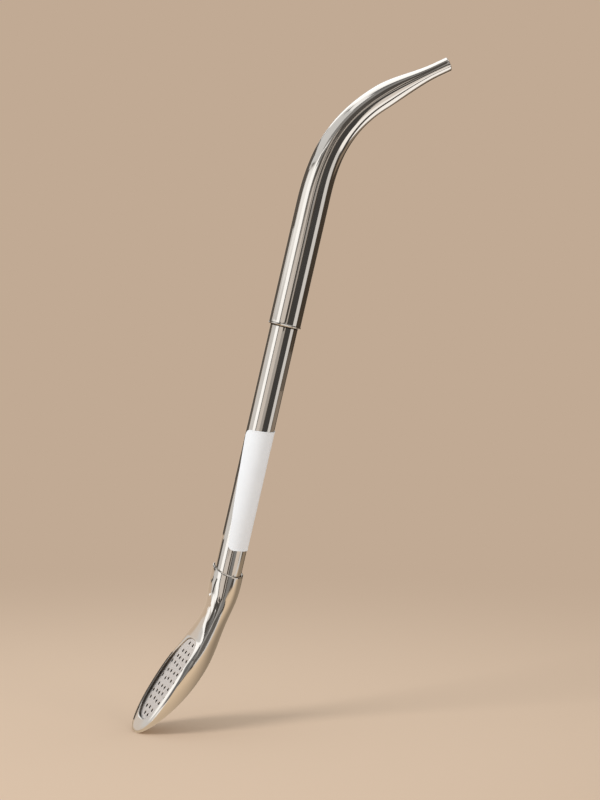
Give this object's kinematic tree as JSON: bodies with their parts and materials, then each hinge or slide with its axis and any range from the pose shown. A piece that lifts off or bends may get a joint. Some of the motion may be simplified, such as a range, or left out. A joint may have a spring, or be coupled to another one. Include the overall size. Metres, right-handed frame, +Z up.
{
  "type": "bombilla",
  "caption": "Metal drinking straw for mate: bent flat mouthpiece, straight stem with a paper label, and a spoon strainer with a punched plate; pulls apart for cleaning.",
  "frame": {"origin": "lowest point of the spoon, where the straw stands on the bottom of a gourd", "axes": "+Z up, +X the way the stem leans and the mouthpiece bends, -Y the side that the straw is seen from"},
  "size_m": [0.0907, 0.0188, 0.1905],
  "materials": {
    "polished_steel": "mirror polished",
    "satin_steel": "satin",
    "paper": "matte"
  },
  "bodies": {
    "spoon": {"spoon_shell": "polished_steel", "filter_plate": "satin_steel"},
    "stem": {"stem_tube": "polished_steel", "label": "paper"},
    "mouthpiece": {"mouthpiece": "polished_steel"}
  },
  "joints": [
    {"name": "stem_pull", "type": "slide", "parent": "spoon", "child": "stem", "axis": [0.225, 0, 0.9744], "range_m": [0, 0.012]},
    {"name": "mouthpiece_pull", "type": "slide", "parent": "stem", "child": "mouthpiece", "axis": [0.225, 0, 0.9744], "range_m": [0, 0.038]}
  ]
}
